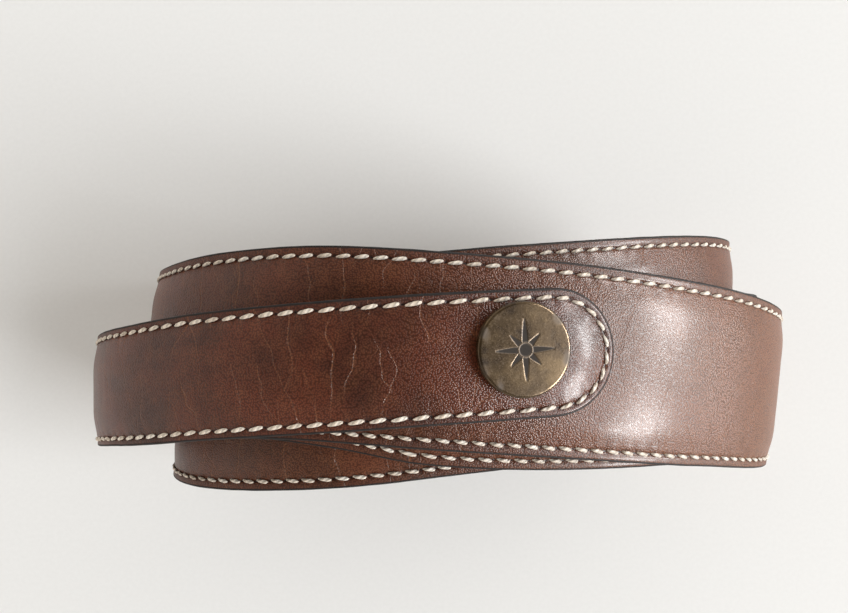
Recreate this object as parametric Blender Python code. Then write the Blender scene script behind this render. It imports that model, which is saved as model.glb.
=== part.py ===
"""A leather belt with a press-stud closure, rolled into a loose coil that lies on its side.

The strap widens from a narrow tongue to a wide inner end. It is three layers of leather:
a crowned face, a filler and a lining. The tongue is the free outer end, and lifts off the coil.
Lengths are in metres. Across the coil is X, the strap's width is Y, and up is Z.
"""

import math

import bmesh
import bpy
from mathutils import Matrix, Vector

MM = 0.001
TURN = 2 * math.pi

# Layers, from the outer surface at the strap's margins (height 0) inwards.
FACE = 1.2 * MM
LINING = 1.1 * MM
GAP = 0.2 * MM
CROWN = 0.8 * MM
CROWN_SHOULDER = 5.0 * MM
FILLER_MARGIN = 3.4 * MM
LINING_TOP = -FACE - GAP
LINING_BOTTOM = LINING_TOP - LINING

# The coil, counted in turns from the top of the outermost layer. Each list gives the distance
# from the coil's centre to the strap's outer surface each time the strap comes round.
CENTRE_HEIGHT = 39.0 * MM
TOPS = [(0.0, 58.6), (1.0, 51.0), (2.0, 46.3), (3.0, 41.8)]
LEFTS = [(0.25, 72.2), (1.25, 60.9), (2.25, 56.9), (3.25, 53.3), (3.5, 46.0)]
BOTTOMS = [(0.5, 39.4), (1.5, 34.2), (2.5, 30.2), (3.5, 19.0)]
RIGHTS = [(-0.25, 80.0), (0.75, 78.3), (1.75, 73.8), (2.75, 69.0), (3.75, 40.0)]
# How far the middle of the strap stands up or down the coil's axis, its width and its lean.
RISES = [(-0.07, -6.9), (0.0, -8.6), (0.08, -11.6), (0.15, -15.3), (0.25, -19.3), (0.45, -18.2),
         (0.6, -18.2), (0.7, -18.9), (0.8, -17.4), (0.88, -13.1), (0.96, -8.9), (1.04, -6.4), (1.1, -6.8),
         (1.17, -8.7), (1.3, -10.8), (1.55, -12.8), (1.76, -14.3), (1.93, -12.9), (1.99, -11.5),
         (2.04, -8.5), (2.1, -7.1), (2.2, -8.6), (2.5, -8.5), (2.82, -5.7), (2.95, -8.9),
         (3.07, -13.4), (3.2, -16.7), (3.6, -18.5)]
WIDTHS = [(-0.07, 20.9), (0.0, 21.1), (0.1, 21.8), (0.25, 23.5), (0.8, 33.0), (1.1, 33.6),
          (2.1, 34.0), (2.8, 40.2), (3.6, 40.2)]
LEANS = [(0.6, 0.0), (0.78, 5.5), (0.97, 1.0), (1.2, -5.5), (1.5, 0.0), (1.8, 4.0), (2.0, 3.0),
         (2.22, -6.0), (2.5, 0.0), (2.8, 1.0), (3.0, 0.0), (3.22, -9.5), (3.45, 0.0)]
TIP_TURN = -0.0655
INNER_TURN = 3.58
TIP_ROUND = 11.0 * MM
TIP_DROOP = 1.6 * MM
INNER_ROUND = 6.0 * MM
STEPS_PER_TURN = 48

# The tongue bends at these turns, from its root to its tip.
HINGE_TURNS = [0.13, 0.075, 0.02]
HINGE_GAP = 0.3 * MM

# The press-stud: a cap, its post and a sprung socket on the tongue, and three studs at the
# inner end. Heights are along the strap's outward direction.
CAP_TURN = -0.0314
CAP_OFFSET = 0.9 * MM
STUD_TURNS = [3.34, 3.435, 3.53]
CAP_BASE = CROWN + 0.15 * MM
CAP_RADIUS = 7.75 * MM
CAP_HEIGHT = 1.5 * MM
CAP_PLATE = 0.5 * MM
CAP_CHAMFER = 0.4 * MM
POST_RADIUS = 1.3 * MM
POST_HOLE = 1.6 * MM
POST_FLANGE = 4.0 * MM
METAL = 0.5 * MM
SEAT = 0.5 * MM
SOCKET_TOP = LINING_BOTTOM - SEAT
SOCKET_RADIUS = 6.1 * MM
SOCKET_HEIGHT = 2.1 * MM
SOCKET_BORE = 3.5 * MM
SPRING_RADIUS = 3.7 * MM
SPRING_WIRE = 0.28 * MM
SPRING_ARC = math.radians(300)
GROOVE_RADIUS = 4.8 * MM
STUD_BASE = CROWN + GAP
STUD_HEIGHT = 3.4 * MM
STUD_FLANGE = 5.2 * MM
STUD_HEAD = 3.3 * MM
STUD_NECK = 2.5 * MM
BOARD_MARGIN = 14.0 * MM
ROUND_SIDES = 24

# Moves the coil sideways so that the middle of its box is at X 0, Y 0.
CENTRE_SHIFT = Vector((-3.5, 12.0, 0.0)) * MM

LEATHER = ("brown_leather", (0.16, 0.065, 0.045), 0.45, 0.0)
LINING_LEATHER = ("lining_leather", (0.10, 0.055, 0.04), 0.7, 0.0)
FILLER_BOARD = ("filler", (0.35, 0.25, 0.16), 0.9, 0.0)
BRASS = ("antique_brass", (0.33, 0.26, 0.14), 0.35, 1.0)
STEEL = ("spring_steel", (0.55, 0.55, 0.57), 0.3, 1.0)


def clear_scene():
    for thing in list(bpy.data.objects):
        bpy.data.objects.remove(thing)


def eased(keys, turn):
    """Reads a list of (turn, value in mm), easing from each value to the next."""
    if turn <= keys[0][0]:
        return keys[0][1] * MM
    for (start, low), (end, high) in zip(keys, keys[1:]):
        if turn <= end:
            part = (turn - start) / (end - start)
            return (low + (high - low) * part * part * (3 - 2 * part)) * MM
    return keys[-1][1] * MM


def flowing(keys, turn):
    """Reads a list of (turn, value) along a smooth curve that passes through every value."""
    last = len(keys) - 1
    turn = min(max(turn, keys[0][0]), keys[last][0])
    i = max(k for k in range(last) if keys[k][0] <= turn)

    def slope(k):
        before, after = keys[max(k - 1, 0)], keys[min(k + 1, last)]
        return (after[1] - before[1]) / (after[0] - before[0])

    (start, low), (end, high) = keys[i], keys[i + 1]
    span = end - start
    p = (turn - start) / span
    return (low * (2 * p**3 - 3 * p**2 + 1) + high * (3 * p**2 - 2 * p**3)
            + span * (slope(i) * (p**3 - 2 * p**2 + p) + slope(i + 1) * (p**3 - p**2)))


def centre_line(turn):
    """The middle of the strap's outer surface, on a spiral of flattened ellipses."""
    across, up = math.sin(TURN * turn), math.cos(TURN * turn)
    x = -eased(LEFTS if across > 0 else RIGHTS, turn) * across
    z = CENTRE_HEIGHT + eased(TOPS if up > 0 else BOTTOMS, turn) * up
    if turn < 0:
        z -= TIP_DROOP * (turn / TIP_TURN) ** 2
    return Vector((x, flowing(RISES, turn) * MM, max(z, CROWN))) + CENTRE_SHIFT


def strap_frame(turn):
    """The centre line's point, and the directions along, across and out of the strap there."""
    step = 0.001
    along = (centre_line(turn + step) - centre_line(turn - step)).normalized()
    lean = math.radians(flowing(LEANS, turn))
    level = (Vector((0, 1, 0)) - along * along.y).normalized()
    out = level.cross(along)
    across = level * math.cos(lean) + out * math.sin(lean)
    return centre_line(turn), along, across, across.cross(along)


def speed(turn):
    """Metres of strap in one turn, at this turn."""
    step = 0.001
    return (centre_line(turn + step) - centre_line(turn - step)).length / (2 * step)


def half_width(turn):
    """Half the strap's width, rounded off at the tip and at the corners of the inner end."""
    half = flowing(WIDTHS, turn) * MM / 2
    from_tip = (turn - TIP_TURN) * speed(TIP_TURN)
    from_inner = (INNER_TURN - turn) * speed(INNER_TURN)
    if from_tip < TIP_ROUND:
        return half * math.sqrt(1 - (1 - from_tip / TIP_ROUND) ** 2)
    if from_inner < INNER_ROUND:
        return half - INNER_ROUND * (1 - math.sqrt(1 - (1 - from_inner / INNER_ROUND) ** 2))
    return half


def strap_turns():
    """The turns at which every layer's outline is drawn, closer together at the rounded ends."""
    tip_end = TIP_TURN + TIP_ROUND / speed(TIP_TURN)
    inner_start = INNER_TURN - INNER_ROUND / speed(INNER_TURN)
    quarter = math.pi / 2
    tip = [TIP_TURN + (tip_end - TIP_TURN) * (1 - math.cos(quarter * k / 6)) for k in range(1, 7)]
    inner = [inner_start + (INNER_TURN - inner_start) * math.sin(quarter * k / 4)
             for k in range(5)]
    count = round((inner_start - tip_end) * STEPS_PER_TURN)
    between = [tip_end + (inner_start - tip_end) * k / count for k in range(1, count)]
    return tip + between + inner


def stations(start, end):
    """The strap's own turns between start and end, with start and end themselves."""
    close = 0.15 / STEPS_PER_TURN
    return [start] + [t for t in strap_turns() if start + close < t < end - close] + [end]


def crown(half):
    """How far the face rises in the middle of a strap of this half width."""
    return CROWN * min(1.0, half / (2 * CROWN_SHOULDER))


def face_section(half):
    """The face leather's outline: crowned in the middle and flat at the margins."""
    shoulder = max(half - CROWN_SHOULDER, half * 0.3)
    outer = [(-half, 0), (-shoulder, crown(half)), (shoulder, crown(half)), (half, 0)]
    return outer + [(a, n - FACE) for a, n in reversed(outer)]


def lining_section(half):
    return [(-half, LINING_TOP), (half, LINING_TOP), (half, LINING_BOTTOM), (-half, LINING_BOTTOM)]


def filler_section(half):
    """The filler's outline: it lifts the face's crown, and stops short of the stitching."""
    foot = half - FILLER_MARGIN
    top = half - CROWN_SHOULDER - GAP
    bottom, height = LINING_TOP + GAP, crown(half) - FACE - GAP
    return [(-foot, bottom), (-top, height), (top, height), (foot, bottom)]


def swept(name, section, turns, finish):
    """A solid that runs along the strap: its outline is drawn at each turn and bridged.

    Every bridge is split the same way across the strap, so that neighbouring layers nest.
    """
    mesh = bmesh.new()
    rings = []
    for turn in turns:
        point, _, across, out = strap_frame(turn)
        outline = section(half_width(turn))
        rings.append([mesh.verts.new(point + across * a + out * n) for a, n in outline])
    sides = range(len(outline))
    for before, after in zip(rings, rings[1:]):
        for k in sides:
            nxt = (k + 1) % len(sides)
            if outline[k][0] < outline[nxt][0]:
                mesh.faces.new((before[k], before[nxt], after[nxt]))
                mesh.faces.new((before[k], after[nxt], after[k]))
            else:
                mesh.faces.new((before[k], before[nxt], after[k]))
                mesh.faces.new((before[nxt], after[nxt], after[k]))
    mesh.faces.new(rings[0])
    mesh.faces.new(rings[-1])
    return finished(name, mesh, finish)


def finished(name, mesh, finish):
    """Turns the faces outwards and makes an object with its own material."""
    bmesh.ops.recalc_face_normals(mesh, faces=mesh.faces)
    data = bpy.data.meshes.new(name)
    mesh.to_mesh(data)
    mesh.free()
    slot, colour, roughness, metallic = finish
    material = bpy.data.materials.get(slot) or bpy.data.materials.new(slot)
    material.use_nodes = True
    shader = material.node_tree.nodes["Principled BSDF"]
    shader.inputs["Base Color"].default_value = (*colour, 1)
    shader.inputs["Roughness"].default_value = roughness
    shader.inputs["Metallic"].default_value = metallic
    data.materials.append(material)
    thing = bpy.data.objects.new(name, data)
    bpy.context.scene.collection.objects.link(thing)
    return thing


def turned(name, profile, turn, finish):
    """A round piece: a closed profile of (radius, height) spun about the strap's outward line."""
    mesh = bmesh.new()
    verts = [mesh.verts.new((radius, 0, height)) for radius, height in profile]
    edges = [mesh.edges.new((before, after)) for before, after in zip(verts, verts[1:] + verts[:1])
             if before.co.x > 0 or after.co.x > 0]
    bmesh.ops.spin(mesh, geom=verts + edges, cent=(0, 0, 0), axis=(0, 0, 1), angle=TURN,
                   steps=ROUND_SIDES, use_merge=True)
    bmesh.ops.remove_doubles(mesh, verts=mesh.verts, dist=0.01 * MM)
    return placed(finished(name, mesh, finish), turn)


def placed(piece, turn):
    """Stands a piece on the strap, with its own Z along the strap's outward direction."""
    point, along, across, out = strap_frame(turn)
    stand = Matrix((across, along, out)).transposed().to_4x4()
    stand.translation = point + across * (CAP_OFFSET if turn == CAP_TURN else 0)
    piece.matrix_world = stand
    piece.data.shade_smooth()
    piece.data.set_sharp_from_angle(angle=math.radians(35))
    return piece


def drilled(piece, turn):
    """Makes the hole that a post passes through."""
    mesh = bmesh.new()
    bmesh.ops.create_cone(mesh, cap_ends=True, segments=12, radius1=POST_HOLE,
                          radius2=POST_HOLE, depth=12 * MM)
    cutter = placed(finished(f"drill_{piece.name}_{turn:.3f}", mesh, BRASS), turn)
    cutter.hide_render = True
    cutter.display_type = "WIRE"
    hole = piece.modifiers.new(f"hole_{turn:.3f}", "BOOLEAN")
    hole.operation = "DIFFERENCE"
    hole.object = cutter
    return piece


def layers(prefix, start, end, filler_start, filler_end, holes=()):
    """The face, filler and lining of one stretch of the strap, drilled where a post goes."""
    made = [
        swept(f"{prefix}_face", face_section, stations(start, end), LEATHER),
        swept(f"{prefix}_filler", filler_section, stations(filler_start, filler_end), FILLER_BOARD),
        swept(f"{prefix}_lining", lining_section, stations(start, end), LINING_LEATHER),
    ]
    for piece in made:
        for turn in holes:
            drilled(piece, turn)


def hinge_turn_gap(turn):
    """Half of the gap at a hinge, in turns."""
    return HINGE_GAP / 2 / speed(turn)


def tongue():
    """The free outer end, in three stretches that hinge on each other, from root to tip."""
    root, middle, tip = HINGE_TURNS
    for prefix, end, start in (("tongue_root", root, middle), ("tongue_middle", middle, tip)):
        first = start + hinge_turn_gap(start)
        last = end - hinge_turn_gap(end)
        layers(prefix, first, last, first, last)
    last = tip - hinge_turn_gap(tip)
    layers("tongue_tip", strap_turns()[0], last, strap_turns()[3], last, holes=[CAP_TURN])


def body():
    """The rest of the strap. A board stiffens it under the studs, in place of the filler."""
    first = HINGE_TURNS[0] + hinge_turn_gap(HINGE_TURNS[0])
    before_studs = STUD_TURNS[0] - BOARD_MARGIN / speed(STUD_TURNS[0])
    joint = max(t for t in strap_turns() if t < before_studs)
    half_gap = GAP / 2 / speed(joint)
    layers("strap", first, strap_turns()[-2], first, joint - half_gap)
    board = swept("stud_board", filler_section, stations(joint + half_gap, strap_turns()[-3]),
                  FILLER_BOARD)
    for turn in STUD_TURNS:
        for piece in (bpy.data.objects["strap_face"], bpy.data.objects["strap_lining"], board):
            drilled(piece, turn)


def cap():
    """A shallow brass disc with a soft edge, hollow underneath round its post's flange."""
    top = CAP_BASE + CAP_HEIGHT
    inside = CAP_RADIUS - METAL
    turned("snap_cap", [(0, top), (CAP_RADIUS - CAP_CHAMFER, top), (CAP_RADIUS, top - CAP_CHAMFER),
                        (CAP_RADIUS, CAP_BASE), (inside, CAP_BASE), (inside, top - CAP_PLATE),
                        (0, top - CAP_PLATE)], CAP_TURN, BRASS)
    flange = top - CAP_PLATE - GAP
    rivet = SOCKET_TOP - METAL - GAP
    turned("snap_cap_post", [(0, flange), (POST_FLANGE, flange), (POST_FLANGE, flange - METAL),
                             (POST_RADIUS, flange - METAL), (POST_RADIUS, rivet),
                             (SOCKET_BORE - 2 * METAL, rivet), (SOCKET_BORE - 2 * METAL, rivet - METAL),
                             (0, rivet - METAL)], CAP_TURN, BRASS)


def socket():
    """The cup behind the cap that grips a stud, with a split ring spring in its groove."""
    bottom = SOCKET_TOP - SOCKET_HEIGHT
    plate = SOCKET_TOP - METAL
    groove_top, groove_bottom = plate - 0.8 * METAL, bottom + 0.8 * METAL
    turned("snap_socket", [(POST_HOLE, SOCKET_TOP), (SOCKET_RADIUS, SOCKET_TOP),
                           (SOCKET_RADIUS, bottom), (SOCKET_BORE, bottom),
                           (SOCKET_BORE, groove_bottom), (GROOVE_RADIUS, groove_bottom),
                           (GROOVE_RADIUS, groove_top), (SOCKET_BORE, groove_top),
                           (SOCKET_BORE, plate), (POST_HOLE, plate)], CAP_TURN, BRASS)
    mesh = bmesh.new()
    ring = bmesh.ops.create_circle(mesh, cap_ends=True, segments=8, radius=SPRING_WIRE)["verts"]
    bmesh.ops.rotate(mesh, verts=ring, matrix=Matrix.Rotation(math.pi / 2, 3, "X"))
    middle = Vector((SPRING_RADIUS, 0, (groove_top + groove_bottom) / 2))
    bmesh.ops.translate(mesh, verts=ring, vec=middle)
    bmesh.ops.spin(mesh, geom=mesh.faces[:], cent=(0, 0, 0), axis=(0, 0, 1), angle=SPRING_ARC,
                   steps=ROUND_SIDES)
    placed(finished("snap_socket_spring", mesh, STEEL), CAP_TURN)


def stud(number, turn):
    """A stud on the face, held by a post that is pressed up through the strap."""
    base, top = STUD_BASE, STUD_BASE + STUD_HEIGHT
    hollow = top - 2 * METAL
    turned(f"stud_{number}", [(POST_HOLE, base), (STUD_FLANGE, base), (STUD_FLANGE, base + METAL),
                              (STUD_NECK, base + 1.2 * METAL), (STUD_NECK, top - 3 * METAL),
                              (STUD_HEAD, top - 2.2 * METAL), (STUD_HEAD, top - 1.2 * METAL),
                              (STUD_HEAD - 1.4 * METAL, top), (0, top), (0, hollow),
                              (POST_HOLE, hollow)], turn, BRASS)
    under = LINING_BOTTOM - SEAT
    turned(f"stud_post_{number}", [(0, hollow - GAP), (POST_RADIUS, hollow - GAP),
                                   (POST_RADIUS, under), (POST_FLANGE, under),
                                   (POST_FLANGE, under - METAL), (0, under - METAL)], turn, BRASS)


clear_scene()
tongue()
body()
cap()
socket()
for number, stud_turn in enumerate(STUD_TURNS, 1):
    stud(number, stud_turn)
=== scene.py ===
"""A coiled leather belt: padded, edge-stitched strap, painted edges and an antique-brass snap.

Each layer is cut flat on the bench, as (along the strap from the tip, across it, out of it), and
then rolled up along the coil. Lengths are in metres.
"""

import math
from bisect import bisect_right
from functools import lru_cache

import bmesh
import bpy
from mathutils import Matrix, Vector, noise


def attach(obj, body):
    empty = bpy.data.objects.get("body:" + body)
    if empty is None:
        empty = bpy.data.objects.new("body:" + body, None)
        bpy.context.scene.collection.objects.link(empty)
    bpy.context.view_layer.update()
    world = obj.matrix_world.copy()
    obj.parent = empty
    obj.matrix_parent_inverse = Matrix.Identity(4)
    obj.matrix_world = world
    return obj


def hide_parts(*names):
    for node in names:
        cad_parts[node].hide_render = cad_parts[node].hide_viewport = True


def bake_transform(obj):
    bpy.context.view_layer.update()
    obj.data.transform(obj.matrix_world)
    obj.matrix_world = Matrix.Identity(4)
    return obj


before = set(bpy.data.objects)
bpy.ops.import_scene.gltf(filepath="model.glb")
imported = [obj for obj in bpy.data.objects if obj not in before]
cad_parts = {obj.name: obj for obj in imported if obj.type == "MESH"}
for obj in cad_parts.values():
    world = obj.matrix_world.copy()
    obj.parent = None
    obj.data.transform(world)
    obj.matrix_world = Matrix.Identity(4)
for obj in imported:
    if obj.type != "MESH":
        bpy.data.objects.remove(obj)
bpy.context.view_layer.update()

MM = 0.001
TURN = 2 * math.pi

# ---------------------------------------------------------------- the coil, as the CAD winds it
# Turns are counted from the top of the outermost layer. The first four lists give the distance
# from the coil's centre to the strap's outer surface in mm; then come the strap's offset along
# the coil's axis, its width, both in mm, and its lean in degrees.
CENTRE_HEIGHT = 39.0 * MM
CROWN = 0.8 * MM
TOPS = [(0.0, 58.6), (1.0, 51.0), (2.0, 46.3), (3.0, 41.8)]
LEFTS = [(0.25, 72.2), (1.25, 60.9), (2.25, 56.9), (3.25, 53.3), (3.5, 46.0)]
BOTTOMS = [(0.5, 39.4), (1.5, 34.2), (2.5, 30.2), (3.5, 19.0)]
RIGHTS = [(-0.25, 80.0), (0.75, 78.3), (1.75, 73.8), (2.75, 69.0), (3.75, 40.0)]
RISES = [(-0.07, -6.9), (0.0, -8.6), (0.08, -11.6), (0.15, -15.3), (0.25, -19.3), (0.45, -18.2),
         (0.6, -18.2), (0.7, -18.9), (0.8, -17.4), (0.88, -13.1), (0.96, -8.9), (1.04, -6.4),
         (1.1, -6.8), (1.17, -8.7), (1.3, -10.8), (1.55, -12.8), (1.76, -14.3), (1.93, -12.9),
         (1.99, -11.5), (2.04, -8.5), (2.1, -7.1), (2.2, -8.6), (2.5, -8.5), (2.82, -5.7),
         (2.95, -8.9), (3.07, -13.4), (3.2, -16.7), (3.6, -18.5)]
WIDTHS = [(-0.07, 20.9), (0.0, 21.1), (0.1, 21.8), (0.25, 23.5), (0.8, 33.0), (1.1, 33.6),
          (2.1, 34.0), (2.8, 40.2), (3.6, 40.2)]
LEANS = [(0.6, 0.0), (0.78, 5.5), (0.97, 1.0), (1.2, -5.5), (1.5, 0.0), (1.8, 4.0), (2.0, 3.0),
         (2.22, -6.0), (2.5, 0.0), (2.8, 1.0), (3.0, 0.0), (3.22, -9.5), (3.45, 0.0)]
TIP_TURN = -0.0655
TIP_DROOP = 1.6 * MM
INNER_TURN = 3.58
CENTRE_SHIFT = Vector((-3.5, 12.0, 0.0)) * MM
HINGE_TURNS = [0.13, 0.075, 0.02]
CAP_TURN = -0.0314
CAP_OFFSET = 0.9 * MM
STUD_TURNS = [3.34, 3.435, 3.53]

# ------------------------------------------------------------------------------- the layers
# Heights are measured outwards from the face of the stitched margin, and depths in from the rim.
FACE = 1.2 * MM
LINING_TOP = -1.25 * MM
LINING_BOTTOM = -2.5 * MM
FILLER_MARGIN = 3.4 * MM
FILLER_SLOPE = 1.5 * MM
SHOULDER = 5.6 * MM
TIP_ROUND = 11.0 * MM
INNER_CORNER = 6.0 * MM
FRONT, BACK = 1, -1
QUARTER = math.pi / 2

# The stitches: pitches and insets on the tongue and on the body in mm, how many go round the tip
# and the inner end, where a sheet has its columns within one stitch, and the groove they lie in.
PITCHES = (3.53, 3.15)
LAST_PITCH = 4.5 * MM
INSETS = (1.45, 1.75)
TIP_STITCHES = 10
CORNER_STITCHES = 2
END_STITCHES = 9
STITCH_PHASES = (0.0, 0.13, 0.37, 0.63, 0.87)
PULL_REACH = 0.12
GROOVE_WIDTH = 0.36
GROOVE_DEPTH, PULL_DEPTH = 0.17, 0.2

# The thread: its radius, the share of a stitch that shows, its slant, how far it stands proud and
# dives, how flat it is pressed, how it tapers, and how it strays.
THREAD = 0.35 * MM
STITCH_SHARE = 0.81
THREAD_LEAN = 0.27 * MM
THREAD_PROUD = 0.16 * MM
THREAD_DIVE = 0.34 * MM
THREAD_PRESS = 0.76
THREAD_TAPER = 0.22
THREAD_STRAY = 0.05 * MM
GIRTH_STRAY = 0.06

# Where the strap's stretches meet, in turns, how far from a hinge its bend reaches, and how much the
# face leather is lightened, by turn, from 0 to 1: partly as it is worn, partly painted light on the lit
# bends.
LINK_MIDDLES = (-0.0075, 0.0475, 0.1025, 0.1575)
BEND_REACH = 10.8 * MM
WEAR_AND_LIGHT = [(-0.07, 0.15), (0.1, 0.08), (0.2, 0.2), (0.3, 0.6), (0.7, 0.9), (0.88, 0.7), (0.97, 0.3),
        (1.15, 0.15), (1.3, 0.5), (1.7, 0.8), (1.9, 0.6), (2.0, 0.35), (2.2, 0.3), (2.7, 0.6),
        (3.0, 0.3), (3.58, 0.3)]


def eased(keys, turn):
    """Reads a list of (turn, value in mm), easing from each value to the next."""
    if turn <= keys[0][0]:
        return keys[0][1] * MM
    for (start, low), (end, high) in zip(keys, keys[1:]):
        if turn <= end:
            part = (turn - start) / (end - start)
            return (low + (high - low) * part * part * (3 - 2 * part)) * MM
    return keys[-1][1] * MM


def flowing(keys, turn):
    """Reads a list of (turn, value) along a smooth curve that passes through every value."""
    last = len(keys) - 1
    turn = min(max(turn, keys[0][0]), keys[last][0])
    i = max(k for k in range(last) if keys[k][0] <= turn)

    def slope(k):
        before, after = keys[max(k - 1, 0)], keys[min(k + 1, last)]
        return (after[1] - before[1]) / (after[0] - before[0])

    (start, low), (end, high) = keys[i], keys[i + 1]
    span = end - start
    p = (turn - start) / span
    return (low * (2 * p**3 - 3 * p**2 + 1) + high * (3 * p**2 - 2 * p**3)
            + span * (slope(i) * (p**3 - 2 * p**2 + p) + slope(i + 1) * (p**3 - p**2)))


def centre_line(turn):
    """The middle of the strap's outer surface, on a spiral of flattened ellipses."""
    across, up = math.sin(TURN * turn), math.cos(TURN * turn)
    x = -eased(LEFTS if across > 0 else RIGHTS, turn) * across
    z = CENTRE_HEIGHT + eased(TOPS if up > 0 else BOTTOMS, turn) * up
    if turn < 0:
        z -= TIP_DROOP * (turn / TIP_TURN) ** 2
    return Vector((x, flowing(RISES, turn) * MM, max(z, CROWN))) + CENTRE_SHIFT


@lru_cache(maxsize=None)
def strap_frame(turn):
    """The centre line's point, and the directions along, across and out of the strap there."""
    step = 0.001
    along = (centre_line(turn + step) - centre_line(turn - step)).normalized()
    lean = math.radians(flowing(LEANS, turn))
    level = (Vector((0, 1, 0)) - along * along.y).normalized()
    out = level.cross(along)
    across = level * math.cos(lean) + out * math.sin(lean)
    return centre_line(turn), along, across, across.cross(along)


def measured_strap(steps=6000):
    """Close stations along the strap: their lengths from the tip, turns and frames."""
    turns = [TIP_TURN + (INNER_TURN - TIP_TURN) * k / steps for k in range(steps + 1)]
    lengths = [0.0]
    for before, after in zip(turns, turns[1:]):
        lengths.append(lengths[-1] + (centre_line(after) - centre_line(before)).length)
    return lengths, turns, [strap_frame(turn) for turn in turns]


LENGTHS, TURNS, FRAMES = measured_strap()
STRAP_LENGTH = LENGTHS[-1]


def step_at(s):
    """The station before a length s from the tip, and how far on towards the next one it is."""
    k = min(max(bisect_right(LENGTHS, s) - 1, 0), len(LENGTHS) - 2)
    return k, (s - LENGTHS[k]) / (LENGTHS[k + 1] - LENGTHS[k])


def turn_at(s):
    k, part = step_at(s)
    return TURNS[k] + (TURNS[k + 1] - TURNS[k]) * part


def length_at(turn):
    return LENGTHS[min(bisect_right(TURNS, turn), len(TURNS)) - 1]


def rolled(s, a, n):
    """Where a point of the flat strap goes when the strap is rolled up."""
    k, part = step_at(s)
    point, _, across, out = (low.lerp(high, part) for low, high in zip(FRAMES[k], FRAMES[k + 1]))
    return point + across * a + out * n


@lru_cache(maxsize=None)
def half_width(s):
    """Half the strap's width, with the corners of the inner end rounded off."""
    half = flowing(WIDTHS, max(turn_at(s), WIDTHS[0][0])) * MM / 2
    left = STRAP_LENGTH - s
    if left < INNER_CORNER:
        half -= INNER_CORNER * (1 - math.sqrt(max(0.0, 1 - (1 - left / INNER_CORNER) ** 2)))
    return half


def between(low, high, part):
    """Eases from low to high as part goes from 0 to 1."""
    part = min(max(part, 0.0), 1.0)
    return low + (high - low) * part * part * (3 - 2 * part)


def inset(s):
    """How far in from the edge the thread runs."""
    return between(*INSETS, (s - 0.12) / 0.15) * MM


def needle_holes():
    """Where the needle went through each side, from the end of the tip's round to the inner end."""
    holes = [TIP_ROUND]
    last = STRAP_LENGTH - INNER_CORNER
    while last - holes[-1] > LAST_PITCH:
        holes.append(holes[-1] + between(*PITCHES, (holes[-1] - 0.2) / 0.1) * MM)
    return holes + [last]


HOLES = needle_holes()


class Station:
    """A place on the strap's rim: a length from the tip, the rim's heading, and the stitch's phase."""

    def __init__(self, s, heading, phase):
        self.s, self.heading, self.phase = s, heading, phase
        self.half, self.inset = half_width(s), inset(s)

    def flat(self, d, n):
        """The flat strap's point at a distance d in from the rim and n out of the leather."""
        s = self.s - math.cos(self.heading) * TIP_ROUND * (1 - d / self.half)
        return s, math.sin(self.heading) * (self.half - d), n


class EndStation(Station):
    """A place on the rim of the inner end, round one of its corners or straight across it."""

    def __init__(self, centre, heading, phase):
        super().__init__(STRAP_LENGTH - INNER_CORNER, heading, phase)
        self.centre = centre

    def flat(self, d, n):
        reach = INNER_CORNER - d
        return (self.s + math.cos(self.heading) * reach,
                self.centre + math.sin(self.heading) * reach, n)


def side_stations(first, last, side):
    """Stations along one side between two needle holes, five to a stitch."""
    stations = []
    for k in range(first, last):
        reach = HOLES[k + 1] - HOLES[k]
        stations += [Station(HOLES[k] + phase * reach, side * QUARTER, phase)
                     for phase in STITCH_PHASES]
    stations.append(Station(HOLES[last], side * QUARTER, 0.0))
    return stations


def tip_stations():
    """Stations round the tip, from its upper side to its lower side."""
    return [Station(TIP_ROUND, QUARTER - math.pi * (k + phase) / TIP_STITCHES, phase)
            for k in range(TIP_STITCHES) for phase in STITCH_PHASES]


def closing_stations(side):
    """The last columns of a layer, where the corner of the inner end takes its width in."""
    steps = 9
    return [Station(STRAP_LENGTH - INNER_CORNER * (1 - math.sin(QUARTER * k / steps)),
                    side * QUARTER, 0.5) for k in range(1, steps + 1)]


def end_stations():
    """Stations round the inner end: a corner, straight across, and the other corner."""
    middle = half_width(STRAP_LENGTH - INNER_CORNER) - INNER_CORNER
    legs = [(CORNER_STITCHES, middle, middle, QUARTER, 0.0),
            (END_STITCHES, middle, -middle, 0.0, 0.0),
            (CORNER_STITCHES, -middle, -middle, 0.0, -QUARTER)]
    stations = []
    for stitches, start, stop, heading, turned in legs:
        for k in range(stitches):
            for phase in STITCH_PHASES:
                part = (k + phase) / stitches
                stations.append(EndStation(start + (stop - start) * part,
                                           heading + (turned - heading) * part, phase))
    return stations


def rims(first, last, over_the_end=False):
    """The rim of one stretch: a run round the tip or the inner end, or a run on each side."""
    upper = side_stations(first, last, 1)
    lower = side_stations(first, last, -1)
    if first == 0:
        return [upper[:0:-1] + tip_stations() + lower]
    if last == len(HOLES) - 1 and over_the_end:
        return [upper[:-1] + end_stations() + lower[::-1]]
    if last == len(HOLES) - 1:
        return [upper + closing_stations(1), lower + closing_stations(-1)]
    return [upper, lower]


# ---------------------------------------------------------------- sections, from the rim inwards
def bell(x):
    return math.exp(-x * x)


def pull(station, reach=PULL_REACH):
    """How hard the thread pulls at the leather: 1 at a needle hole and 0 away from it."""
    return bell(min(station.phase, 1 - station.phase) / reach)


def crown_at(station, d):
    """How far the padding lifts the leather at a distance in from the rim."""
    from_the_end = STRAP_LENGTH - station.s
    x = (min(d, from_the_end) - station.inset - 0.15 * MM) / SHOULDER
    return CROWN * math.sin(QUARTER * min(max(x, 0.0), 1.0)) ** 1.25


def creases(s, a):
    """Soft hollows, and fine folds across the strap where it turns hardest."""
    soft = noise.noise(Vector((s * 70, a * 90, 1.7))) * 0.07 * MM
    turn = turn_at(s)
    hard = max(0.0, math.sin(TURN * turn)) ** 2 if turn > 0.1 else 0.0
    folds = noise.noise(Vector((s * 620, a * 110, 4.2))) * 0.05 * MM * hard
    return soft + folds


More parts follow.
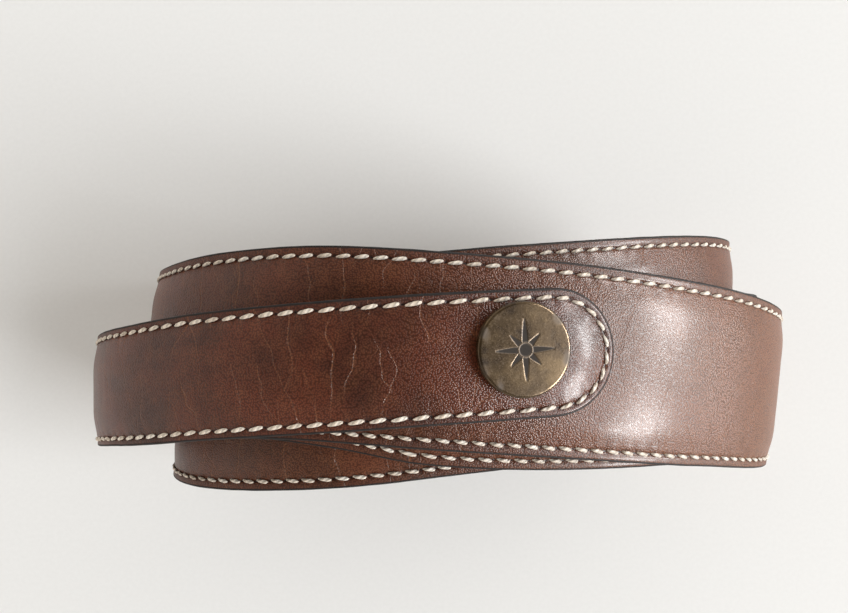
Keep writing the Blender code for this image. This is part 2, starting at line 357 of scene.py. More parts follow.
def face_outline(station):
    """The face leather: under its middle, round the rim, over the stitched margin to its middle."""
    half, row, pulled = station.half, station.inset, pull(station)
    under = [(half, CROWN - FACE), (FILLER_MARGIN + FILLER_SLOPE, CROWN - FACE),
             (FILLER_MARGIN, -FACE), (0.25 * MM, -FACE)]
    rim = [(0.0, -1.0 * MM), (0.0, -0.55 * MM), (0.07 * MM, -0.28 * MM), (0.22 * MM, -0.1 * MM),
           (0.45 * MM, -0.01 * MM)]
    depths = [row + reach * MM
              for reach in (-0.65, -0.38, -0.18, 0.0, 0.18, 0.4, 0.75, 1.3, 2.1, 3.1, 4.3, 5.7)]
    inner = depths[-1]
    depths += [inner + (half - inner) * k / 3 for k in range(1, 4)]
    top = []
    for d in depths:
        s, a, _ = station.flat(d, 0)
        seam = (d - row) / MM
        lift = crown_at(station, d)
        lift -= (GROOVE_DEPTH + PULL_DEPTH * pulled) * MM * bell(seam / GROOVE_WIDTH)
        lift += 0.05 * MM * math.cos(TURN * station.phase) * -bell((seam - 0.8) / 0.55)
        lift += creases(s, a) * between(0, 1, (seam - 0.3) / 2.5)
        top.append((d, lift))
    return under + rim + top


def filler_outline(station):
    """The thin board that pads the middle of the strap."""
    half = station.half
    edge = FILLER_MARGIN + 0.15 * MM
    return [(half, LINING_TOP + 0.05 * MM), (edge, LINING_TOP + 0.05 * MM),
            (edge + FILLER_SLOPE, CROWN - FACE - 0.06 * MM), (half, CROWN - FACE - 0.06 * MM)]


def lining_outline(station):
    """The lining, with a softer groove under its row of stitches."""
    half, row, pulled = station.half, station.inset, pull(station)
    under = [(half, LINING_BOTTOM), (row + 3 * MM, LINING_BOTTOM)]
    for reach in (0.7, 0.3, 0.0, -0.3, -0.7):
        depth = (0.1 + 0.15 * pulled) * MM * bell(reach / GROOVE_WIDTH)
        under.append((row + reach * MM, LINING_BOTTOM + depth))
    return under + [(0.35 * MM, LINING_BOTTOM + 0.02 * MM), (0.1 * MM, LINING_BOTTOM + 0.14 * MM),
                    (0.0, LINING_BOTTOM + 0.4 * MM), (0.0, LINING_TOP), (half, LINING_TOP)]


def paint_outline(station):
    """The coat of paint over the cut edges, a little uneven, as a closed loop."""
    s, a, _ = station.flat(0, 0)
    swell = 0.035 * MM * noise.noise(Vector((s * 260, a * 260, 7.3)))
    coat = [(0.3, -0.02), (0.12, -0.06), (0.0, -0.2), (-0.07, -0.42), (-0.1, -0.8), (-0.12, -1.25),
            (-0.11, -1.7), (-0.07, -2.1), (0.04, -2.4), (0.22, -2.54), (0.42, -2.45), (0.3, -1.25),
            (0.3, -0.5)]
    outline = [(d * MM - (swell if d < 0.1 else 0), n * MM) for d, n in coat]
    return outline + outline[:1]


# ------------------------------------------------------------------------ making the pieces
def finished(name, bm, material, sharp=50):
    """Turns a bmesh into an object of the scene, closed, facing out and shaded smooth."""
    bmesh.ops.recalc_face_normals(bm, faces=bm.faces[:])
    mesh = bpy.data.meshes.new(name)
    bm.to_mesh(mesh)
    bm.free()
    mesh.materials.append(material)
    mesh.shade_smooth()
    mesh.set_sharp_from_angle(angle=math.radians(sharp))
    piece = bpy.data.objects.new(name, mesh)
    bpy.context.collection.objects.link(piece)
    return piece


def wrapped_layer(name, first, last, outline, material):
    """One layer of one stretch: a flat sheet bent into the layer's section and rolled up."""
    bm = bmesh.new()
    flat = bm.verts.layers.float_vector.new("flat")
    hole, wear_and_light, margin = (bm.verts.layers.float.new(mark) for mark in ("hole", "wear_and_light", "margin"))
    for stations in rims(first, last, outline is paint_outline):
        outlines = [outline(station) for station in stations]
        columns, rows = len(outlines) - 1, len(outlines[0]) - 1
        sheet = bmesh.ops.create_grid(bm, x_segments=columns, y_segments=rows, size=1)
        for vert in sheet["verts"]:
            column = round((vert.co.x + 1) / 2 * columns)
            row = round((vert.co.y + 1) / 2 * rows)
            station = stations[column]
            d, n = outlines[column][row]
            vert[flat] = Vector(station.flat(d, n))
            near = bell((d - station.inset) / (0.2 * MM)) if n > LINING_BOTTOM / 2 else 0.0
            vert[margin] = between(1, 0, (d - station.inset + 0.2 * MM) / (0.5 * MM))
            # Painted shade: the face goes near black at the needle holes.
            vert[hole] = near * pull(station, 0.1)
            # How much the face is lightened here: partly as it is worn, partly painted light on the lit
            # bends.
            vert[wear_and_light] = flowing(WEAR_AND_LIGHT, turn_at(vert[flat].x))
            vert.co = rolled(*vert[flat])
    bmesh.ops.remove_doubles(bm, verts=bm.verts[:], dist=0.001 * MM)
    rim = [edge for edge in bm.edges if edge.is_boundary]
    bmesh.ops.holes_fill(bm, edges=rim, sides=0)
    return finished(name, bm, material)


def row_of_beads(bm, count):
    """Unit spheres, as many as asked for, doubled up until there are enough."""
    which = bm.verts.layers.int.new("bead")
    bmesh.ops.create_uvsphere(bm, u_segments=8, v_segments=6, radius=1)
    made = 1
    while made < count:
        more = min(made, count - made)
        spheres = [vert for vert in bm.verts if vert[which] < more]
        spheres += [face for face in bm.faces if face.verts[0][which] < more]
        for copy in bmesh.ops.duplicate(bm, geom=spheres)["geom"]:
            if isinstance(copy, bmesh.types.BMVert):
                copy[which] += made
        made += more
    beads = [[] for _ in range(count)]
    for vert in bm.verts:
        beads[vert[which]].append(vert)
    return beads


def shape_stitch(bead, lay, number, start, end, level, side):
    """A plump bead of thread from one needle hole to the next, thinner where it dives in.

    The bead is a unit sphere with its poles at the holes. The layer lay takes the distance along
    the stitch, the distance round it and the stitch's number.
    """
    sideways = Vector((start.y - end.y, end.x - start.x)).normalized()
    half_length = (end - start).length * STITCH_SHARE / 2
    stray = noise.noise(Vector((number * 1.37, side * 3.1, 0.5)))
    blunt = 1 if start.x < end.x else -1
    for vert in bead:
        x, y, z = vert.co
        z = max(-1.0, min(1.0, z))
        fullness = math.sqrt(max(0.0, 1 - abs(z) ** 2.6)) / math.sqrt(max(1e-6, 1 - z * z))
        girth = THREAD * fullness * (1 - THREAD_TAPER * blunt * z) * (1 + GIRTH_STRAY * stray)
        middle = start.lerp(end, 0.5 + z * STITCH_SHARE / 2) + sideways * (THREAD_STRAY * stray)
        place = middle + sideways * (x * girth)
        height = side * (THREAD_PROUD - THREAD_DIVE * abs(z) ** 4 + y * girth * THREAD_PRESS)
        vert[lay] = Vector((z * half_length, math.atan2(y, x) * THREAD, number))
        vert.co = rolled(place.x, place.y, level + height)


def thread(name, first, last, material):
    """The stitches of one stretch, on the face and on the lining."""
    stitches = []
    for side, level in ((FRONT, 0.0), (BACK, LINING_BOTTOM)):
        for stations in rims(first, last, over_the_end=True):
            ends = [station for station in stations if station.phase == 0.0]
            for one, two in zip(ends, ends[1:]):
                inwards = one.heading > 0 and (two.s > one.s or isinstance(two, EndStation))
                lean = THREAD_LEAN * side * (-1 if inwards else 1)
                start = Vector(one.flat(one.inset + lean, 0)[:2])
                end = Vector(two.flat(two.inset - lean, 0)[:2])
                stitches.append((start, end, level, side))
    bm = bmesh.new()
    lay = bm.verts.layers.float_vector.new("lay")
    for number, (bead, stitch) in enumerate(zip(row_of_beads(bm, len(stitches)), stitches)):
        shape_stitch(bead, lay, number, *stitch)
    return finished(name, bm, material, sharp=180)


# ------------------------------------------------------------------------------- materials
# The near-black colour painted into the needle holes as shade.
HOLE_SHADE = (0.006, 0.003, 0.002)


def new_material(name):
    material = bpy.data.materials.new(name)
    material.use_nodes = True
    tree = material.node_tree
    return material, tree, tree.nodes["Principled BSDF"]


def node(tree, kind, **settings):
    """A shader node with its properties and its inputs set by name."""
    made = tree.nodes.new(kind)
    for key, value in settings.items():
        if hasattr(made, key):
            setattr(made, key, value)
        else:
            made.inputs[key.replace("_", " ")].default_value = value
    return made


def ramp(tree, source, stops, smooth=False):
    """Recolours a value by its stops of (place, colour)."""
    made = tree.nodes.new("ShaderNodeValToRGB")
    elements = made.color_ramp.elements
    while len(elements) < len(stops):
        elements.new(0.5)
    for element, (place, colour) in zip(elements, stops):
        element.position = place
        element.color = (*colour, 1)
    if smooth:
        made.color_ramp.interpolation = "EASE"
    tree.links.new(source, made.inputs["Fac"])
    return made.outputs["Color"]


def value_ramp(tree, source, stops):
    """Remaps a value by its stops of (place, value)."""
    return ramp(tree, source, [(place, (value,) * 3) for place, value in stops])


def mixed(tree, fac, low, high, blend="MIX"):
    """Mixes two colours, each a socket or a plain colour."""
    made = tree.nodes.new("ShaderNodeMix")
    made.data_type = "RGBA"
    made.blend_type = blend
    for name, value in (("Factor", fac), ("A", low), ("B", high)):
        socket = next(s for s in made.inputs if s.name == name and s.enabled)
        if hasattr(value, "links"):
            tree.links.new(value, socket)
        else:
            socket.default_value = value if name == "Factor" else (*value, 1)
    return next(s for s in made.outputs if s.enabled)


def maths(tree, operation, *values):
    """One operation on values, each a socket or a number."""
    made = tree.nodes.new("ShaderNodeMath")
    made.operation = operation
    for socket, value in zip(made.inputs, values):
        if hasattr(value, "links"):
            tree.links.new(value, socket)
        else:
            socket.default_value = value
    return made.outputs["Value"]


def laid(tree, attribute, scale=(1, 1, 1), turned=0.0):
    """Coordinates from an attribute of the piece, stretched and turned within the strap's plane."""
    source = node(tree, "ShaderNodeAttribute", attribute_name=attribute)
    mapping = node(tree, "ShaderNodeMapping")
    mapping.inputs["Scale"].default_value = scale
    mapping.inputs["Rotation"].default_value = (0, 0, turned)
    tree.links.new(source.outputs["Vector"], mapping.inputs["Vector"])
    return mapping.outputs["Vector"]


def noisy(tree, place, scale, detail=3.0, rough=0.5, distortion=0.0):
    """Cloudy noise from 0 to 1."""
    made = node(tree, "ShaderNodeTexNoise", Scale=scale, Detail=detail, Roughness=rough,
                Distortion=distortion)
    tree.links.new(place, made.inputs["Vector"])
    return made.outputs["Fac"]


def bumped(tree, shader, layers):
    """Stacks bumps of (height, depth in metres) and feeds them to the shader."""
    normal = None
    for height, depth in layers:
        bump = node(tree, "ShaderNodeBump", Distance=depth)
        tree.links.new(height, bump.inputs["Height"])
        if normal:
            tree.links.new(normal, bump.inputs["Normal"])
        normal = bump.outputs["Normal"]
    tree.links.new(normal, shader.inputs["Normal"])


def marked(tree, name):
    """An attribute of the piece, as a value."""
    return node(tree, "ShaderNodeAttribute", attribute_name=name).outputs["Fac"]


def pebble_grain(tree, place):
    """The grain's pebbles, 1 on their tops and 0 in the valleys, a third of a millimetre across."""
    grain = node(tree, "ShaderNodeTexVoronoi", Scale=2900)
    grain.voronoi_dimensions = "2D"
    wobble = node(tree, "ShaderNodeTexNoise", Scale=700)
    tree.links.new(place, wobble.inputs["Vector"])
    warped = node(tree, "ShaderNodeVectorMath")
    warped.operation = "MULTIPLY_ADD"
    warped.inputs[1].default_value = (0.00022,) * 3
    tree.links.new(wobble.outputs["Color"], warped.inputs[0])
    tree.links.new(place, warped.inputs[2])
    tree.links.new(warped.outputs["Vector"], grain.inputs["Vector"])
    return value_ramp(tree, grain.outputs["Distance"], [(0.1, 1.0), (0.62, 0.0)])


def crease_lines(tree):
    """Thin wandering lines across the strap, in five sets of their own slant and spacing."""
    fold = 0.0
    for turned, spacing in ((0.08, 45), (-0.22, 31), (0.3, 37), (-0.09, 53), (0.17, 61)):
        bands = node(tree, "ShaderNodeTexWave", Scale=spacing, Distortion=5.0, Detail=2.0)
        bands.inputs["Detail Scale"].default_value = 1.6
        tree.links.new(laid(tree, "flat", (1, 1, 1), turned), bands.inputs["Vector"])
        line = value_ramp(tree, bands.outputs["Fac"], [(0.9975, 0.0), (0.9995, 1.0)])
        patches = noisy(tree, laid(tree, "flat", (1, 0.6, 1), turned), 25 + spacing, 2)
        where = value_ramp(tree, patches, [(0.52, 0.0), (0.6, 1.0)])
        fold = maths(tree, "MAXIMUM", fold, maths(tree, "MULTIPLY", line, where))
    return fold


def scuffs(tree, handled_and_lit):
    """Fine slanting scratches, laid where the mask of worn places and painted light is high."""
    scratch = noisy(tree, laid(tree, "flat", (0.3, 1.0, 1.0), 0.9), 330, 2, 0.5, 0.6)
    ridge = maths(tree, "ABSOLUTE", maths(tree, "SUBTRACT", scratch, 0.5))
    return maths(tree, "MULTIPLY", value_ramp(tree, ridge, [(0.0, 1.0), (0.01, 0.0)]), handled_and_lit)


def leather(name, dark, middle, light, shine):
    """Pebbled full-grain leather: mottled colour, fine creases and scratches, painted shade in the
    grain and the needle holes, and lighter patches, partly worn and partly painted light.
    """
    material, tree, shader = new_material(name)
    place = laid(tree, "flat")
    pebbles = pebble_grain(tree, place)
    clouds = noisy(tree, place, 55, 4, 0.6)
    mottle = noisy(tree, place, 420, 4, 0.65)
    handled_and_lit, rim, hole_shade = (marked(tree, mark) for mark in ("wear_and_light", "margin", "hole"))
    fold = crease_lines(tree)
    marks = maths(tree, "MAXIMUM", maths(tree, "MULTIPLY", fold, 0.45),
                  maths(tree, "MULTIPLY", scuffs(tree, handled_and_lit), 0.35))

    leather_colour = ramp(tree, clouds, [(0.34, dark), (0.66, middle)], smooth=True)
    leather_colour = mixed(tree, value_ramp(tree, mottle, [(0.45, 0.0), (0.8, 0.22)]), leather_colour, light)
    # Lighter patches, partly worn and partly painted light, strongest on the bends at the right where
    # the window falls.
    patchy = maths(tree, "MULTIPLY", handled_and_lit, value_ramp(tree, mottle, [(0.2, 0.7), (0.7, 1.0)]))
    leather_colour = mixed(tree, patchy, leather_colour, light)
    leather_colour = mixed(tree, marks, leather_colour, light)
    leather_colour = mixed(tree, maths(tree, "MULTIPLY", rim, 0.2), leather_colour, dark)
    # Painted shade in the grain: the colour is darker in the valleys between the pebbles and a little
    # lighter on their tops.
    leather_colour = mixed(tree, 1.0, leather_colour, value_ramp(tree, pebbles, [(0.0, 0.55), (1.0, 1.25)]), "MULTIPLY")
    # Painted shade in the needle holes, near black.
    leather_colour = mixed(tree, value_ramp(tree, hole_shade, [(0.15, 0.0), (0.75, 0.93)]), leather_colour, HOLE_SHADE)
    tree.links.new(leather_colour, shader.inputs["Base Color"])

    rough = mixed(tree, clouds, (shine,) * 3, (shine + 0.12,) * 3)
    rough = mixed(tree, marks, rough, (shine + 0.25,) * 3)
    rough = mixed(tree, rim, rough, (shine + 0.2,) * 3)
    tree.links.new(rough, shader.inputs["Roughness"])
    for setting, value in (("Specular IOR Level", 0.17), ("Coat Weight", 0.1),
                           ("Coat Roughness", 0.2), ("Sheen Weight", 0.045),
                           ("Sheen Roughness", 0.4)):
        shader.inputs[setting].default_value = value
    bumped(tree, shader, [(pebbles, 0.00005), (mottle, 0.00001), (fold, -0.00005)])
    return material


def edge_paint():
    material, tree, shader = new_material("black_edge_paint")
    place = laid(tree, "flat")
    uneven = noisy(tree, place, 500, 3)
    colour = ramp(tree, uneven, [(0.35, (0.006, 0.004, 0.0035)), (0.7, (0.022, 0.013, 0.01))])
    tree.links.new(colour, shader.inputs["Base Color"])
    tree.links.new(value_ramp(tree, uneven, [(0.3, 0.55), (0.7, 0.75)]), shader.inputs["Roughness"])
    shader.inputs["Specular IOR Level"].default_value = 0.2
    bumped(tree, shader, [(uneven, 0.0001)])
    return material


def filler_board():
    material, tree, shader = new_material("filler_board")
    fibres = noisy(tree, laid(tree, "flat", (1, 4, 1)), 900, 4)
    colour = ramp(tree, fibres, [(0.3, (0.22, 0.15, 0.09)), (0.7, (0.4, 0.3, 0.2))])
    tree.links.new(colour, shader.inputs["Base Color"])
    shader.inputs["Roughness"].default_value = 0.85
    bumped(tree, shader, [(fibres, 0.0001)])
    return material


def waxed_thread():
    """Cream linen thread: two twisted plies, waxed, a little dirty in places."""
    material, tree, shader = new_material("waxed_linen_thread")
    twist = node(tree, "ShaderNodeTexWave", Scale=330, Distortion=0.6, Detail=1.0)
    twist.inputs["Detail Scale"].default_value = 2.0
    tree.links.new(laid(tree, "lay", (1, 1, 0), 0.75), twist.inputs["Vector"])
    plies = twist.outputs["Fac"]
    number = laid(tree, "lay", (60, 60, 0.37))
    soiled = noisy(tree, number, 1.0, 2)
    colour = ramp(tree, soiled, [(0.25, (0.44, 0.34, 0.25)), (0.45, (0.72, 0.61, 0.49)),
                                 (0.7, (0.86, 0.78, 0.68))])
    # Painted shade between the plies: the colour is darker in the twist's grooves.
    colour = mixed(tree, 1.0, colour, value_ramp(tree, plies, [(0.0, 0.62), (0.6, 1.0)]), "MULTIPLY")
    tree.links.new(colour, shader.inputs["Base Color"])
    shader.inputs["Roughness"].default_value = 0.62
    shader.inputs["Sheen Weight"].default_value = 0.2
    bumped(tree, shader, [(plies, 0.00012)])
    return material


def antique_brass():
    """Brass with a brown patina that stays in its hollows and creeps in from the rim."""
    material, tree, shader = new_material("antique_brass")
    place = node(tree, "ShaderNodeTexCoord").outputs["Object"]
    cloud = noisy(tree, place, 260, 4, 0.6)
    specks = noisy(tree, place, 3200, 3, 0.7)
    colour = ramp(tree, cloud, [(0.3, (0.026, 0.014, 0.0055)), (0.5, (0.06, 0.036, 0.015)),
                                (0.72, (0.095, 0.06, 0.027))], smooth=True)
    colour = mixed(tree, value_ramp(tree, specks, [(0.56, 0.0), (0.72, 0.7)]), colour,
                   (0.05, 0.035, 0.02))
    dark = marked(tree, "patina")
    colour = mixed(tree, dark, colour, (0.018, 0.012, 0.008))
    tree.links.new(colour, shader.inputs["Base Color"])
    tree.links.new(mixed(tree, dark, (0.6,) * 3, (0.0,) * 3), shader.inputs["Metallic"])
    tree.links.new(mixed(tree, dark, (0.5,) * 3, (0.1,) * 3), shader.inputs["Specular IOR Level"])
    satin = value_ramp(tree, specks, [(0.3, 0.2), (0.7, 0.3)])
    tree.links.new(mixed(tree, dark, satin, (0.8,) * 3), shader.inputs["Roughness"])
    bumped(tree, shader, [(specks, 0.00001), (cloud, 0.00004)])
    return material


def spring_steel():
    material, tree, shader = new_material("spring_steel")
    place = node(tree, "ShaderNodeTexCoord").outputs["Object"]
    drawn = noisy(tree, place, 2500, 2)
    shader.inputs["Base Color"].default_value = (0.42, 0.41, 0.39, 1)
    shader.inputs["Metallic"].default_value = 1.0
    tree.links.new(value_ramp(tree, drawn, [(0.3, 0.25), (0.7, 0.42)]), shader.inputs["Roughness"])
    return material


# ------------------------------------------------------------------------------ the snap
CAP_BASE = CROWN + 0.15 * MM
CAP_RADIUS = 7.75 * MM
CAP_HEIGHT = 1.5 * MM
CAP_PLATE = 0.5 * MM
CAP_ROUND = 0.5 * MM
CAP_DOME = 0.06 * MM
CUT_DEPTH = 0.06 * MM
RAYS = 8
LONG_RAY, SHORT_RAY = 4.9 * MM, 3.4 * MM
RAY_BREADTH = 0.75 * MM
EYE = 0.75 * MM
POST_RADIUS = 1.3 * MM
POST_HOLE = 1.6 * MM
POST_FLANGE = 4.0 * MM
METAL = 0.5 * MM
SEAT = 0.5 * MM
GAP = 0.2 * MM
SOCKET_TOP = LINING_BOTTOM - SEAT
SOCKET_RADIUS = 6.1 * MM
SOCKET_HEIGHT = 2.1 * MM
SOCKET_BORE = 3.5 * MM
SPRING_RADIUS = 3.7 * MM
SPRING_WIRE = 0.28 * MM
SPRING_ARC = math.radians(300)
GROOVE_RADIUS = 4.8 * MM
STUD_BASE = CROWN + GAP
STUD_HEIGHT = 3.4 * MM
STUD_FLANGE = 5.2 * MM
STUD_HEAD = 3.3 * MM
STUD_NECK = 2.5 * MM


def placed(bm, turn):
    """Stands a bmesh on the strap, with its own Z along the strap's outward direction."""
    point, along, across, out = strap_frame(turn)
    stand = Matrix((across, along, out)).transposed().to_4x4()
    stand.translation = point + across * (CAP_OFFSET if turn == CAP_TURN else 0)
    bmesh.ops.transform(bm, matrix=stand, verts=bm.verts[:])
    return bm


def spun(profile, steps=96, softened=0.0):
    """A closed profile of (radius, height) spun once round, its corners softened."""
    bm = bmesh.new()
    verts = [bm.verts.new((radius, 0, height)) for radius, height in profile]
    for before, after in zip(verts, verts[1:] + verts[:1]):
        if before.co.x > 0 or after.co.x > 0:
            bm.edges.new((before, after))
    if softened:
        corners = [vert for vert in verts if vert.co.x > 0 and len(vert.link_edges) == 2]
        bmesh.ops.bevel(bm, geom=corners, offset=softened, offset_type="OFFSET", segments=3,
                        profile=0.5, affect="VERTICES", material=-1)
    bmesh.ops.spin(bm, geom=bm.verts[:] + bm.edges[:], cent=(0, 0, 0), axis=(0, 0, 1), angle=TURN,
                   steps=steps, use_merge=True)
    bmesh.ops.remove_doubles(bm, verts=bm.verts[:], dist=0.002 * MM)
    return bm


def engraving(x, y):
    """How deep the cap's pattern is cut at a point of its top: an eight-rayed star."""
    radius, angle = math.hypot(x, y), math.atan2(y, x)
    swing = (angle / TURN * RAYS + 0.5) % 1 - 0.5
    reach = LONG_RAY if round(angle / TURN * RAYS) % 2 == 0 else SHORT_RAY
    breadth = RAY_BREADTH * max(0.0, 1 - (radius / reach) ** 2)
    off = abs(swing) * TURN / RAYS * radius
    ray = 1 - between(0, 1, (off - breadth * 0.6) / (0.16 * MM)) if radius < reach else 0.0
    eye = 1 - between(0, 1, (radius - EYE) / (0.15 * MM))
    rim_of_eye = bell((radius - EYE - 0.4 * MM) / (0.14 * MM))
    return max(ray * (1 - rim_of_eye), eye)


def snap_cap(brass):
    """The brass cap: a slightly domed disc with a soft rim and the engraved star."""
    top = CAP_BASE + CAP_HEIGHT
    inside = CAP_RADIUS - METAL
    rings = 64
    plate = CAP_RADIUS - CAP_ROUND
    profile = [(plate * k / rings, top) for k in range(rings)]
    profile += [(plate + CAP_ROUND * math.sin(k * QUARTER / 7),
                 top - CAP_ROUND + CAP_ROUND * math.cos(k * QUARTER / 7)) for k in range(8)]
    profile += [(CAP_RADIUS, CAP_BASE + 0.1 * MM), (CAP_RADIUS - 0.1 * MM, CAP_BASE),
                (inside, CAP_BASE), (inside, top - CAP_PLATE), (0.0, top - CAP_PLATE)]
    bm = spun(profile, steps=180)
    patina = bm.verts.layers.float.new("patina")
    for vert in bm.verts:
        x, y, z = vert.co
        radius = math.hypot(x, y)
        if z > top - 0.1 * MM and radius < plate:
            cut = engraving(x, y)
            vert[patina] = 0.93 * cut
            vert.co.z += CAP_DOME * (1 - (radius / plate) ** 2) - CUT_DEPTH * cut
        blot = noise.noise(Vector((x * 420, y * 420, 3.3)))
        edge = between(0, 1, (radius / CAP_RADIUS - 0.72) / 0.25)
        vert[patina] = max(vert[patina], edge * between(0, 0.5, blot / 0.4))
    return finished("cap", placed(bm, CAP_TURN), brass, sharp=60)


def snap_post(brass):
    """The cap's post, riveted through the strap into the socket."""
    flange = CAP_BASE + CAP_HEIGHT - CAP_PLATE - GAP
    rivet = SOCKET_TOP - METAL - GAP
    rolled_rim = SOCKET_BORE - 2 * METAL
    return finished("cap_post", placed(spun(
        [(0, flange), (POST_FLANGE, flange), (POST_FLANGE, flange - METAL),
         (POST_RADIUS, flange - METAL), (POST_RADIUS, rivet), (rolled_rim, rivet),
         (rolled_rim, rivet - METAL), (0, rivet - METAL)], softened=0.1 * MM), CAP_TURN), brass)


def snap_socket(brass, steel):
    """The cup behind the cap, and the split ring spring in its groove."""
    bottom = SOCKET_TOP - SOCKET_HEIGHT
    plate = SOCKET_TOP - METAL
    groove_top, groove_bottom = plate - 0.8 * METAL, bottom + 0.8 * METAL
    cup = finished("socket", placed(spun(
        [(POST_HOLE, SOCKET_TOP), (SOCKET_RADIUS, SOCKET_TOP), (SOCKET_RADIUS, bottom),
         (SOCKET_BORE, bottom), (SOCKET_BORE, groove_bottom), (GROOVE_RADIUS, groove_bottom),
         (GROOVE_RADIUS, groove_top), (SOCKET_BORE, groove_top), (SOCKET_BORE, plate),
         (POST_HOLE, plate)], softened=0.12 * MM), CAP_TURN), brass)
    bm = bmesh.new()
    ring = bmesh.ops.create_circle(bm, cap_ends=True, segments=12, radius=SPRING_WIRE)["verts"]
    bmesh.ops.rotate(bm, verts=ring, matrix=Matrix.Rotation(QUARTER, 3, "X"))
    middle = Vector((SPRING_RADIUS, 0, (groove_top + groove_bottom) / 2))
    bmesh.ops.translate(bm, verts=ring, vec=middle)
    bmesh.ops.spin(bm, geom=bm.faces[:], cent=(0, 0, 0), axis=(0, 0, 1), angle=SPRING_ARC, steps=64)
    spring = finished("socket_spring", placed(bm, CAP_TURN), steel)
    return cup, spring


def snap_stud(number, turn, brass):
    """One of the studs on the inner end, and the post pressed up into it."""
    base, top = STUD_BASE, STUD_BASE + STUD_HEIGHT
    hollow = top - 2 * METAL
    head = finished(f"stud_head_{number}", placed(spun(
        [(POST_HOLE, base), (STUD_FLANGE, base), (STUD_FLANGE, base + METAL),
         (STUD_NECK, base + 1.2 * METAL), (STUD_NECK, top - 3 * METAL),
         (STUD_HEAD, top - 2.2 * METAL), (STUD_HEAD, top - 1.2 * METAL),
         (STUD_HEAD - 1.4 * METAL, top), (0, top), (0, hollow), (POST_HOLE, hollow)],
        steps=64, softened=0.15 * MM), turn), brass)
    under = LINING_BOTTOM - SEAT
    post = finished(f"stud_rivet_{number}", placed(spun(
        [(0, hollow - GAP), (POST_RADIUS, hollow - GAP), (POST_RADIUS, under), (POST_FLANGE, under),
         (POST_FLANGE, under - METAL), (0, under - METAL)], steps=64, softened=0.12 * MM), turn), brass)
    return head, post


# ------------------------------------------------------------------------------ the strap
CHESTNUT = ((0.042, 0.0085, 0.004), (0.108, 0.0225, 0.009), (0.27, 0.105, 0.045))
BROWN = ((0.09, 0.045, 0.025), (0.14, 0.07, 0.04), (0.22, 0.13, 0.08))

# Each stretch of the strap, from the tip: its name, the body it rides on or the two bodies either side
# of the hinge it spans, and how the names of the CAD nodes that it stands for begin.
STRETCHES = [("tip", ["tongue_tip"], "tongue_tip"),
             ("tip_bend", ["tongue_middle", "tongue_tip"], "tongue_middle"),
             ("middle_bend", ["tongue_root", "tongue_middle"], "tongue_root"),
             ("root_bend", ["coil", "tongue_root"], None),
             ("coil", ["coil"], "strap")]


def hole_near(turn):
    """The number of the needle hole nearest to a turn."""
    return min(range(len(HOLES)), key=lambda k: abs(HOLES[k] - length_at(turn)))


def strap_layers():
    """Each layer's name, outline and material, and a label that only marks the layers whose CAD nodes
    are hidden.
    """
    return [("face", face_outline, leather("chestnut_face_leather", *CHESTNUT, 0.3), "face_leather"),
            ("filler", filler_outline, filler_board(), "filler"),
            ("lining", lining_outline, leather("brown_lining_leather", *BROWN, 0.55),
             "lining_leather"),
            ("edge", paint_outline, edge_paint(), None)]


def strap():
    """The strap in five stretches; the tip and the coil ride on their bodies, the three across the
    hinges stay unattached.
    """
    layers = strap_layers()
    linen = waxed_thread()
    hinges = iter(reversed(HINGE_TURNS))
    cuts = [0] + [hole_near(turn) for turn in LINK_MIDDLES] + [len(HOLES) - 1]
    for (stretch, bodies, stands_for), first, last in zip(STRETCHES, cuts, cuts[1:]):
        pieces = []
        for layer, outline, material, finish in layers:
            piece = wrapped_layer(f"{stretch}_{layer}", first, last, outline, material)
            pieces.append(piece)
            if stands_for:
                nodes = [f"{stands_for}_{layer}"] if finish else []
                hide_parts(*nodes)
            if stretch == "coil" and layer == "filler":
                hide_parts("stud_board")
        pieces.append(thread(f"{stretch}_thread", first, last, linen))
        hinge = length_at(next(hinges)) if len(bodies) == 2 else None
        for piece in pieces:
            if hinge is None:
                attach(piece, bodies[0])
            else:
                rolled(hinge + BEND_REACH, 0, 0)
                rolled(hinge - BEND_REACH, 0, 0)
                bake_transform(piece)


def hardware():
    """The snap's pieces on the tongue and the three studs on the inner end."""
    brass = antique_brass()
    steel = spring_steel()
    cup, spring = snap_socket(brass, steel)
    stands_for = [(snap_cap(brass), "snap_cap", "tongue_tip"),
                  (snap_post(brass), "snap_cap_post", "tongue_tip"),
                  (cup, "snap_socket", "tongue_tip"), (spring, "snap_socket_spring", "tongue_tip")]
    for number, turn in enumerate(STUD_TURNS, 1):
        head, post = snap_stud(number, turn, brass)
        stands_for += [(head, f"stud_{number}", "coil"), (post, f"stud_post_{number}", "coil")]
    for piece, cad_node, body in stands_for:
        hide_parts(cad_node)
        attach(piece, body)


# ------------------------------------------------------------------------------ the studio
FLOOR_HALF = 15.0
ROOM_STRENGTH = 1.9
ROOM = [(0.0, (1.0, 0.94, 0.86)), (0.3, (0.92, 0.865, 0.785)), (0.62, (0.3, 0.29, 0.275)),
        (0.85, (0.05, 0.05, 0.05))]
# The window's bright panes, which only the gloss shows: name, power, bearing and rise.
PANES = [("upper_pane", 75, 3, 30), ("lower_pane", 92, -24, 33), ("far_pane", 42, 30, 34)]
VIEWPOINT = (-0.0035, 0.012, 0.22519)
FOCAL_LENGTH = 33.96


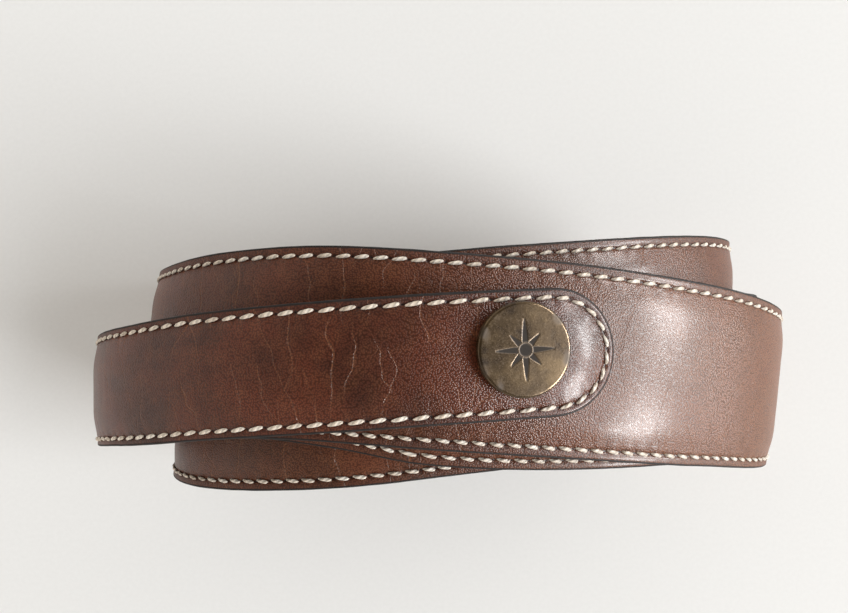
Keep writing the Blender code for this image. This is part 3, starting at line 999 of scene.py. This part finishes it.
def pale_floor():
    bm = bmesh.new()
    bmesh.ops.create_grid(bm, x_segments=1, y_segments=1, size=FLOOR_HALF)
    material, tree, shader = new_material("pale_paper")
    fibre = noisy(tree, node(tree, "ShaderNodeTexCoord").outputs["Object"], 900, 3)
    tree.links.new(ramp(tree, fibre, [(0.3, (0.8, 0.795, 0.785)), (0.7, (0.82, 0.815, 0.805))]),
                   shader.inputs["Base Color"])
    shader.inputs["Roughness"].default_value = 0.9
    mesh = bpy.data.meshes.new("paper")
    bm.to_mesh(mesh)
    bm.free()
    mesh.materials.append(material)
    paper = bpy.data.objects.new("paper", mesh)
    bpy.context.collection.objects.link(paper)


def pale_room():
    """Light from all round, brightest and warmest near the floor."""
    world = bpy.data.worlds.new("room")
    bpy.context.scene.world = world
    world.use_nodes = True
    sky = world.node_tree
    background = sky.nodes["Background"]
    direction = node(sky, "ShaderNodeSeparateXYZ")
    sky.links.new(node(sky, "ShaderNodeTexCoord").outputs["Generated"], direction.inputs["Vector"])
    sky.links.new(ramp(sky, direction.outputs["Z"], ROOM), background.inputs["Color"])
    background.inputs["Strength"].default_value = ROOM_STRENGTH


def window_light():
    """A large soft window to the right, a little cool."""
    soft_light("window", size=(2.9, 3.4), power=211, bearing=-12, rise=38, away=5.0,
               colour=(0.94, 0.972, 1.0))
    for name, power, bearing, rise in PANES:
        pane = soft_light(name, size=(0.6, 0.4), power=power, bearing=bearing, rise=rise, away=2.0)
        pane.visible_diffuse = False


def soft_light(name, size, power, bearing, rise, away, colour=(1.0, 1.0, 1.0)):
    """A rectangle of light aimed at the coil; its bearing is from +X, its rise from the floor."""
    light = bpy.data.lights.new(name, "AREA")
    light.shape = "RECTANGLE"
    light.size, light.size_y = size
    light.energy = power
    light.color = colour
    lamp = bpy.data.objects.new(name, light)
    turned, tilted = math.radians(bearing), math.radians(rise)
    towards = Vector((math.cos(turned) * math.cos(tilted), math.sin(turned) * math.cos(tilted),
                      math.sin(tilted)))
    lamp.location = towards * away
    lamp.rotation_euler = towards.to_track_quat("Z", "Y").to_euler()
    bpy.context.collection.objects.link(lamp)
    return lamp


def camera():
    """Straight above the coil, a hand's breadth over it."""
    lens = bpy.data.cameras.new("camera")
    lens.sensor_width = 36.0
    lens.lens = FOCAL_LENGTH
    lens.clip_start = 0.005
    eye = bpy.data.objects.new("camera", lens)
    eye.location = VIEWPOINT
    bpy.context.collection.objects.link(eye)
    bpy.context.scene.camera = eye


pale_floor()
pale_room()
window_light()
camera()
strap()
hardware()
bpy.context.scene.view_settings.view_transform = "Standard"
